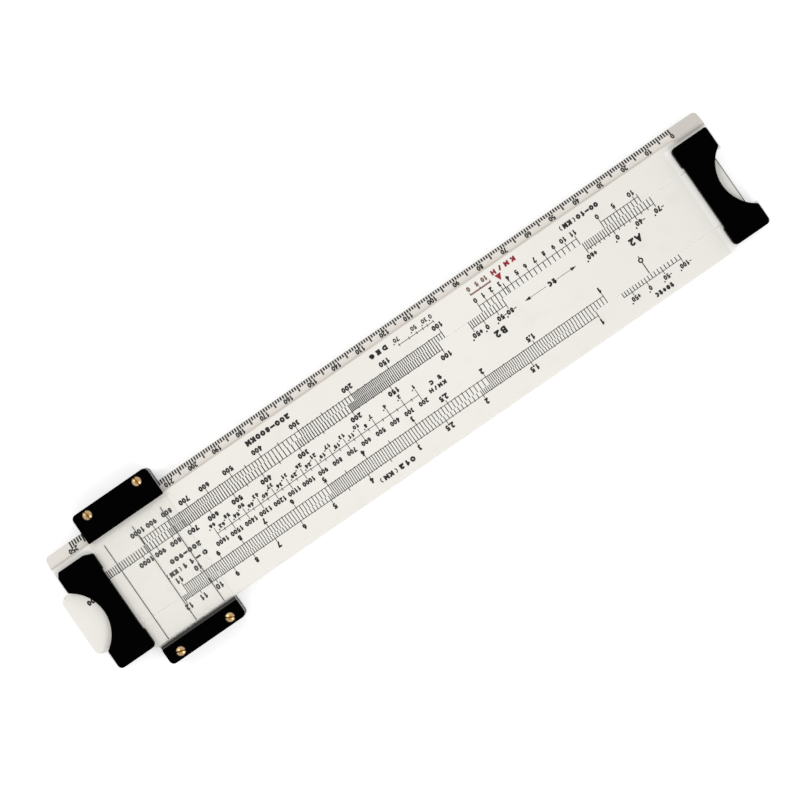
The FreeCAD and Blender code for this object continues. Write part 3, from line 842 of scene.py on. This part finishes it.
def printLowerRail():
    look = lowerRailScales
    sheet = bmesh.new()
    speed = look["speed"]
    addScale(sheet, speed, logPlace(speed["start"], speed["decade"], 100))
    for name in ("height", "airspeed"):
        scale = look[name]
        addScale(sheet, scale, curvedPlace(scale["zero"], scale["step"], scale["bend"]))
    angle = look["angle"]
    for value, x in angle["places"].items():
        addTick(sheet, x, angle["line"] - angle["spur"], angle["line"] + angle["spur"], ink["stem"])
        if value in angle["labels"]:
            addLabel(sheet, degreeText(value), x, angle["labelY"], angle["labelHeight"], angle["pen"])
    addLine(sheet, angle["line"], angle["places"][0], angle["end"])
    markX, markEnd = look["gaugeMark"]
    addTick(sheet, markX, markEnd, look["airspeed"]["tip"])
    for legend in look["legends"]:
        addLegend(sheet, *legend)
    finishPrint("lowerRailPrint", sheet, frontFace, "stock")


redScale = {
    "left": 79.85,
    "right": 88.05,
    "steps": 2,
    "line": 8.15,
    "lineWidth": 0.58,
    "spur": 0.8,
    "labels": [("10", 81.2), ("5", 84.3), ("0", 87.7)],
    "labelY": 6.1,
    "labelHeight": 1.85,
    "labelPen": 0.52,
    "legend": ("KM/H", 69.2, 77.3, 6.1, 1.75),
    "pointer": (76.5, 8.2, 2.5, 2.5),  # x, y, length, width
}


def printRedScale():
    look = redScale
    sheet = bmesh.new()
    addLine(sheet, look["line"], look["left"], look["right"], look["lineWidth"])
    for index in range(look["steps"] + 1):
        x = look["left"] + (look["right"] - look["left"]) * index / look["steps"]
        addTick(sheet, x, look["line"] - look["spur"], look["line"], ink["stem"])
    for text, x in look["labels"]:
        addLabel(sheet, text, x, look["labelY"], look["labelHeight"], look["labelPen"])
    addLegend(sheet, *look["legend"])
    addWedge(sheet, *look["pointer"], math.pi / 2)
    finishPrint("lowerRailRedPrint", sheet, frontFace, "stock", redInk)


# Upper rail: temperature scale at the left and the altitude scale

altitudeStretches = [(1, 2, 0.02, 0.1), (2, 5, 0.05, 0.1)]
altitudeMarks = {
    "spur": 0.3, "longMarks": [3.5, 4.5], "longSpur": 1.1, "labelHeight": 2.15, "tick": 0.285,
}
upperTickTip = (upperRailLow.y - zeroY) / mm + 0.06
upperRailScales = {
    "altitude": {
        **altitudeMarks, "start": 56.11, "decade": 158.96, "line": 38.79, "tip": upperTickTip,
        "labelY": 41.2, "pen": 0.59, "stretches": altitudeStretches + [(5, 12, 0.1, 0.5)],
        "labels": [1, 1.5, 2, 2.5] + list(range(3, 13)),
    },
    "warmth": {
        "zero": 35.96, "step": 0.1276, "bend": -0.000145, "line": 38.74, "tip": upperTickTip,
        "labelY": 41.05, "labelHeight": 1.9, "pen": 0.48, "digitWidth": 0.57, "spur": 0,
        "stretches": [(-100, 80, 10, 50)], "labels": [-100, -50, 0, 50],
        "shifts": {50: (0.4, 0)},  # right and up, of a number that stands off its place
    },
    "legends": [
        ("t0+tC", 29.3, 35.45, 44.3, 1.8), ("012", 136.2, 140.7, 43.1, 1.95),
        ("(KM)", 143.1, 149.1, 43.1, 1.8)],
}


def printUpperRail():
    look = upperRailScales
    sheet = bmesh.new()
    altitude = look["altitude"]
    addScale(sheet, altitude, logPlace(altitude["start"], altitude["decade"]))
    warmth = look["warmth"]
    addScale(sheet, warmth, curvedPlace(warmth["zero"], warmth["step"], warmth["bend"]), signedText)
    for legend in look["legends"]:
        addLegend(sheet, *legend)
    finishPrint("upperRailPrint", sheet, frontFace, "stock")


# Slide: speed scale along the lower seam, altitude scale along the upper one, heating table between them

slideLowTip = railTickTip + 0.17
slideHighTip = upperTickTip - 0.17
warmthMarks = {
    "line": 17.93, "tip": slideLowTip, "labelY": 20.4, "labelHeight": 1.98, "pen": 0.57,
    "digitWidth": 0.64,
}
slideScales = {
    "speed": {
        **speedMarks, "start": 106.63, "line": 18.03, "tip": slideLowTip,
        "labelY": 20.45, "stretches": speedStretches + [(1000, 1500, 20, 100)], "tick": 0.36,
        "labels": hundreds + [1500], "pen": 0.6, "digitWidth": 0.66, "shifts": {1500: (0.2, 0.45)},
    },
    "altitude": {
        **altitudeMarks, "start": 50.89, "decade": 161.78, "bend": 0.05, "line": 34.16,
        "tip": slideHighTip, "labelY": 31.8, "pen": 0.6,
        "stretches": altitudeStretches + [(5, 11, 0.1, 0.5)],
        "labels": [1, 1.5, 2, 2.5] + list(range(3, 12)),
    },
    "warmthLeft": {
        **warmthMarks, "start": 18.75, "decade": 129.8, "spur": 0.8,
        "stretches": [(-70, 60, 5, 10)], "labels": [-70, -40, 0, 60],
    },
    "warmthRight": {
        **warmthMarks, "start": 80.0, "decade": 63.1, "spur": 0.1,
        "stretches": [(-80, 50, 10, 50)], "labels": [-80, -50, 0, 50],
    },
    "heating": {
        "start": 122.1, "step": 5.968, "firstSpeed": 200, "speedStep": 100, "line": 26.15,
        "labelY": 29.2, "labelHeight": 1.85, "stemLow": 23.95, "stemHigh": 28.3, "halfLow": 25.7,
        "halfHigh": 26.9, "rowY": 22.9, "halfRowY": 24.6, "rowHeight": 1.52, "rowPen": 0.5,
        "rowWidth": 0.74, "rowGap": 0.06, "halfRowShift": 0.1,
        "warmth": [1, 2, 4, 7, 10, 13, 17, 21, 26, 31, 37, 43, 50, 58, 66],
        "halfWarmth": [8, 11, 15, 19, 24, 29, 34, 40, 46, 54, 62], "firstHalf": 3,
    },
    "arrows": {
        "y": 20.42, "leftTip": 52.7, "leftEnd": 60.6, "rightStart": 65.3, "rightTip": 73.95, "head": 2.2,
        "headWidth": 1.25, "lineWidth": 0.15,
    },
    "index": {"x": 33.42, "top": 36.75, "ringY": 31.4, "inner": 0.42, "outer": 0.95, "tail": 29.75},
    "legends": [
        ("tC", 61.75, 63.6, 20.4, 2.0), ("KM/H", 112.3, 117.7, 27.5, 1.5),
        ("tC", 112.75, 116.2, 25.15, 1.75), ("0–11", 212.8, 221.1, 28.9, 1.9),
        ("(KM)", 223.1, 228.1, 28.9, 1.75), ("200–900", 212.9, 223.9, 25.3, 1.9)],
    "titles": [("A2", 30.85, 24.65, 2.7), ("B2", 86.7, 24.4, 2.6)],  # text, middle x, y and height
    "titlePen": 0.74,
    "titleWidth": 0.76,
    "titleGap": 0.14,
}


def printHeating(sheet, look):
    row = look["rowHeight"], look["rowPen"], look["rowWidth"], look["rowGap"]
    for index, warmth in enumerate(look["warmth"]):
        x = look["start"] + index * look["step"]
        addTick(sheet, x, look["stemLow"], look["stemHigh"], ink["stem"])
        speed = look["firstSpeed"] + look["speedStep"] * index
        addLabel(sheet, plainText(speed), x, look["labelY"], look["labelHeight"])
        addLabel(sheet, degreeText(warmth), x, look["rowY"], *row)
    for index in range(len(look["warmth"]) - 1):
        x = look["start"] + (index + 0.5) * look["step"]
        addTick(sheet, x, look["halfLow"], look["halfHigh"], ink["stem"])
        if index >= look["firstHalf"]:
            warmth = look["halfWarmth"][index - look["firstHalf"]]
            addLabel(sheet, degreeText(warmth), x + look["halfRowShift"], look["halfRowY"], *row)
    end = look["start"] + (len(look["warmth"]) - 1) * look["step"]
    addLine(sheet, look["line"], look["start"], end)


def printSlide():
    look = slideScales
    sheet = bmesh.new()
    speed = look["speed"]
    addScale(sheet, speed, logPlace(speed["start"], speed["decade"], 100))
    altitude = look["altitude"]
    addScale(sheet, altitude, logPlace(altitude["start"], altitude["decade"], bend=altitude["bend"]))
    for name in ("warmthLeft", "warmthRight"):
        scale = look[name]
        place = warmthPlace(scale["start"], scale["decade"], scale["stretches"][0][0])
        addScale(sheet, scale, place, signedText)
    printHeating(sheet, look["heating"])
    arrows = look["arrows"]
    y, head, width = arrows["y"], arrows["head"], arrows["lineWidth"]
    addLine(sheet, y, arrows["leftTip"] + head / 2, arrows["leftEnd"], width)
    addLine(sheet, y, arrows["rightStart"], arrows["rightTip"] - head / 2, width)
    addWedge(sheet, arrows["leftTip"] + head * 2 / 3, y, head, arrows["headWidth"], math.pi)
    addWedge(sheet, arrows["rightTip"] - head * 2 / 3, y, head, arrows["headWidth"])
    index = look["index"]
    addRing(sheet, index["x"], index["ringY"], index["inner"], index["outer"])
    addTick(sheet, index["x"], index["ringY"] + index["outer"], index["top"], ink["bold"])
    addTick(sheet, index["x"], index["tail"], index["ringY"] - index["outer"], ink["bold"])
    for legend in look["legends"]:
        addLegend(sheet, *legend)
    for title in look["titles"]:
        addLabel(sheet, *title, look["titlePen"], look["titleWidth"], look["titleGap"])
    finishPrint("slidePrint", sheet, frontFace, "slide")


# Hairlines on the inner faces of the cursor's windows

hairlines = {
    "spacing": 11.55,
    "count": 3,
    "low": 7.6,
    "high": 46.4,
    "width": 0.28,
    "airGap": 0.006,
}


def printHairlines(name, windowFace, turned):
    look = hairlines
    sheet = bmesh.new()
    railWidth = (upperRailHigh.y - zeroY) / mm
    low, high = look["low"], look["high"]
    if turned:
        low, high = railWidth - high, railWidth - low
    for index in range(look["count"]):
        x = (index - (look["count"] - 1) / 2) * look["spacing"]
        addTick(sheet, x, low, high, look["width"])
    below = -(ink["thickness"] - ink["sink"]) - look["airGap"]
    sheet.transform(Matrix.Translation((0, 0, below)))
    centreX = (windowLow.x + windowHigh.x) / 2
    startY = upperRailHigh.y if turned else zeroY
    turn = Matrix.Rotation(math.pi if turned else 0, 4, "X")
    face = Matrix.Translation((centreX, startY, windowFace)) @ turn @ toMetres
    finishPrint(name, sheet, face, "cursor")


# Back: plain logarithmic scales, which the picture doesn't show

backScales = {
    "left": 7.0,
    "decade": 234.0,
    "slideShift": 3.5,  # the slide is drawn out by this much
    "labelHeight": 1.7,
    "labelGap": 0.15,
    "spur": 0.4,
    "single": [(1, 2, 0.01, 0.1), (2, 4, 0.02, 0.1), (4, 10, 0.05, 0.5)],
    "double": [
        (1, 2, 0.02, 0.1), (2, 5, 0.05, 0.5), (5, 10, 0.1, 0.5),
        (10, 20, 0.2, 1), (20, 50, 0.5, 5), (50, 100, 1, 5)],
    "linear": [(0, 10, 0.05, 0.5)],
    "singleLabels": [1, 1.5, 2, 2.5] + list(range(3, 11)),
    "doubleLabels": list(range(1, 10)) + list(range(10, 101, 10)),
    "linearLabels": list(range(11)),
    "railDouble": (8.2, 9.84, 5.8),  # line, tip of the ticks and middle of the numbers
    "slideDouble": (12.6, 10.24, 14.9),
    "slideReversed": (20.2, 22.4, 17.9),
    "slideSingle": (29.2, 31.56, 26.9),
    "railSingle": (34.3, 31.96, 36.6),
    "railLinear": (42.4, 44.4, 40.1),
}


def addBackScale(sheet, kind, rows, place):
    look = backScales
    line, tip, labelY = look[rows]
    scale = {
        "line": line, "tip": tip, "labelY": labelY, "labelHeight": look["labelHeight"],
        "labelGap": look["labelGap"], "spur": look["spur"], "stretches": look[kind],
        "labels": look[kind + "Labels"],
    }
    addScale(sheet, scale, place)


def printBack():
    look = backScales
    rails = bmesh.new()
    left, decade = look["left"], look["decade"]
    addBackScale(rails, "double", "railDouble", logPlace(left, decade / 2))
    addBackScale(rails, "single", "railSingle", logPlace(left, decade))
    addBackScale(rails, "linear", "railLinear", curvedPlace(left, decade / 10, 0))
    finishPrint("railBackPrint", rails, backFace, "stock")
    slide = bmesh.new()
    left += look["slideShift"]
    addBackScale(slide, "double", "slideDouble", logPlace(left, decade / 2))
    addBackScale(slide, "single", "slideReversed", logPlace(left + decade, -decade))
    addBackScale(slide, "single", "slideSingle", logPlace(left, decade))
    finishPrint("slideBackPrint", slide, backFace, "slide")


printRuling()
printLowerRail()
printRedScale()
printUpperRail()
printSlide()
printBack()
printHairlines("frontHairlines", windowLow.z, False)
printHairlines("backHairlines", backWindowHigh.z, True)


# Room: pale floor, soft lamps and a plain pale world

room = {
    "floorSize": 4.0,  # metres, as are the lamps' size and places
    "floorColour": (0.78, 0.78, 0.78, 1),
    "floorLift": 0.45,
    "worldStrength": 0.7,
    "lampSize": 0.5,
    "keyPlace": (-0.2, 0.75, 1.1),
    "keyPower": 3.9,
    "fillPlace": (0.55, -0.6, 1.1),
    "fillPower": 3.2,
}


def seenRays(tree):  # 1 for what the eye, a mirror or a window sees, 0 for light that falls on the object
    rays = tree.nodes.new("ShaderNodeLightPath")
    seen = add(tree, rays.outputs["Is Camera Ray"], rays.outputs["Is Glossy Ray"])
    seen = add(tree, seen, rays.outputs["Is Transmission Ray"])
    return calculate(tree, "MINIMUM", seen, 1.0)


def makeFloor():
    sheet = bmesh.new()
    bmesh.ops.create_grid(sheet, x_segments=1, y_segments=1, size=room["floorSize"] / 2)
    material, tree, shader = newMaterial("paleFloor")
    shader.inputs["Base Color"].default_value = room["floorColour"]
    shader.inputs["Roughness"].default_value = 1.0
    shader.inputs["Specular IOR Level"].default_value = 0.0
    shader.inputs["Emission Color"].default_value = (1, 1, 1, 1)
    lift = multiply(tree, seenRays(tree), room["floorLift"])
    tree.links.new(lift, shader.inputs["Emission Strength"])
    floor = newObject("floor", sheet, material)


def makeLamp(name, place, power):
    light = bpy.data.lights.new(name, "AREA")
    light.shape = "SQUARE"
    light.size = room["lampSize"]
    light.energy = power
    lamp = bpy.data.objects.new(name, light)
    lamp.location = place
    lamp.rotation_mode = "QUATERNION"
    lamp.rotation_quaternion = (-lamp.location).to_track_quat("-Z", "Y")
    lamp.visible_camera = False
    bpy.context.scene.collection.objects.link(lamp)


def makeWorld():
    world = bpy.data.worlds.new("paleWorld")
    world.use_nodes = True
    bpy.context.scene.world = world
    tree = world.node_tree
    background = tree.nodes["Background"]
    background.inputs["Color"].default_value = (1, 1, 1, 1)
    strength = remap(tree, seenRays(tree), 0, 1, room["worldStrength"], 1.0)
    tree.links.new(strength, background.inputs["Strength"])


view = {
    "aim": (0.00232, 0.00004),
    "height": 0.92067,
    "turn": 145.415,  # degrees, so that the ruling edge runs along the top of the picture
    "lens": 120.0,
}


def makeCamera():
    data = bpy.data.cameras.new("camera")
    data.sensor_width = 36
    data.lens = view["lens"]
    data.clip_start = 0.01
    camera = bpy.data.objects.new("camera", data)
    camera.location = (*view["aim"], view["height"])
    camera.rotation_euler = (0, 0, math.radians(view["turn"]))
    bpy.context.scene.collection.objects.link(camera)
    bpy.context.scene.camera = camera


makeFloor()
makeWorld()
makeLamp("keyLamp", room["keyPlace"], room["keyPower"])
makeLamp("fillLamp", room["fillPlace"], room["fillPower"])
makeCamera()
bpy.context.scene.view_settings.view_transform = "Standard"
print("room and camera set")
